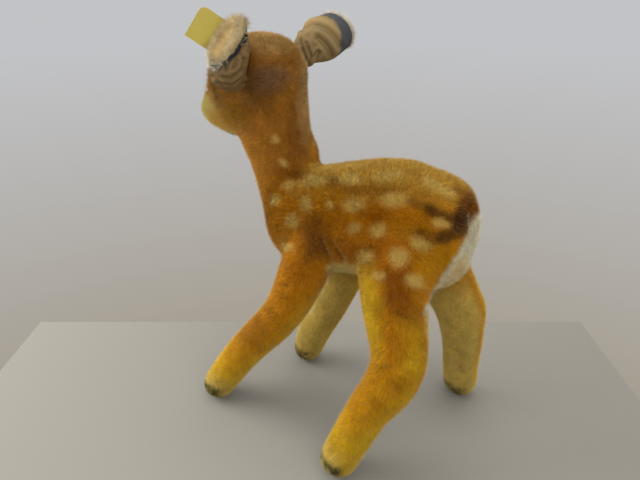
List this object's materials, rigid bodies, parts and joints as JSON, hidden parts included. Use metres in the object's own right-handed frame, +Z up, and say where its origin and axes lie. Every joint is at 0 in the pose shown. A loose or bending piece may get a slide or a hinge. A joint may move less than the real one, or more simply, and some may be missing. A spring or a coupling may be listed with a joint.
{
  "type": "stuffed plush fawn",
  "caption": "Standing stuffed toy fawn in spotted golden-brown mohair plush, with cupped flexing ears, a short tail and a plain cloth ear tag.",
  "frame": {"origin": "under the middle of the fawn's bounding box, on the table plane that its feet stand on", "axes": "+Z up, -Y the way the fawn faces, +X towards the fawn's left side"},
  "size_m": [0.1832, 0.2914, 0.3545],
  "materials": {
    "plush": "mohair pile",
    "leg_plush": "mohair pile",
    "tail_plush": "mohair pile",
    "stuffing": "wood wool",
    "wire": "drawn",
    "ear_velvet": "velvet",
    "ear_lining": "mohair pile",
    "eye_glass": "gloss",
    "thread": "stitched thread",
    "rivet": "satin",
    "tag_cloth": "woven ribbon"
  },
  "bodies": {
    "fawn": {"trunk_cover": "plush", "trunk_stuffing": "stuffing", "neck_cover": "plush", "neck_stuffing": "stuffing", "head_cover": "plush", "head_stuffing": "stuffing", "front_left_leg_cover": "leg_plush", "front_left_leg_stuffing": "stuffing", "front_right_leg_cover": "leg_plush", "front_right_leg_stuffing": "stuffing", "hind_left_leg_cover": "leg_plush", "hind_left_leg_stuffing": "stuffing", "hind_right_leg_cover": "leg_plush", "hind_right_leg_stuffing": "stuffing", "front_leg_wire": "wire", "hind_leg_wire": "wire", "neck_wire": "wire", "left_eye": "eye_glass", "right_eye": "eye_glass", "nose_stitching": "thread"},
    "left_ear": {"left_ear_back": "ear_velvet", "left_ear_lining": "ear_lining", "ear_rivet": "rivet"},
    "right_ear": {"right_ear_back": "ear_velvet", "right_ear_lining": "ear_lining"},
    "tail": {"tail": "tail_plush"},
    "tag": {"ear_tag": "tag_cloth"}
  },
  "joints": [
    {"name": "left_ear_flex", "type": "hinge", "parent": "fawn", "child": "left_ear", "pos_m": [0.04593, -0.04131, 0.30827], "axis": [0.1715, -0.0272, 0.9848], "range_deg": [-18, 18], "stiffness_Nm_per_rad": 0.02},
    {"name": "right_ear_flex", "type": "hinge", "parent": "fawn", "child": "right_ear", "pos_m": [-0.01216, -0.03211, 0.31864], "axis": [0.1715, -0.0272, 0.9848], "range_deg": [-18, 18], "stiffness_Nm_per_rad": 0.02},
    {"name": "tail_lift", "type": "hinge", "parent": "fawn", "child": "tail", "pos_m": [0.00999, 0.13552, 0.2384], "axis": [1, 0, 0], "range_deg": [0, 45], "stiffness_Nm_per_rad": 0.01},
    {"name": "tag_swivel", "type": "hinge", "parent": "left_ear", "child": "tag", "pos_m": [0.04423, -0.05356, 0.33023], "axis": [-0.6116, -0.775, 0.1594], "range_deg": [-15, 15]}
  ]
}
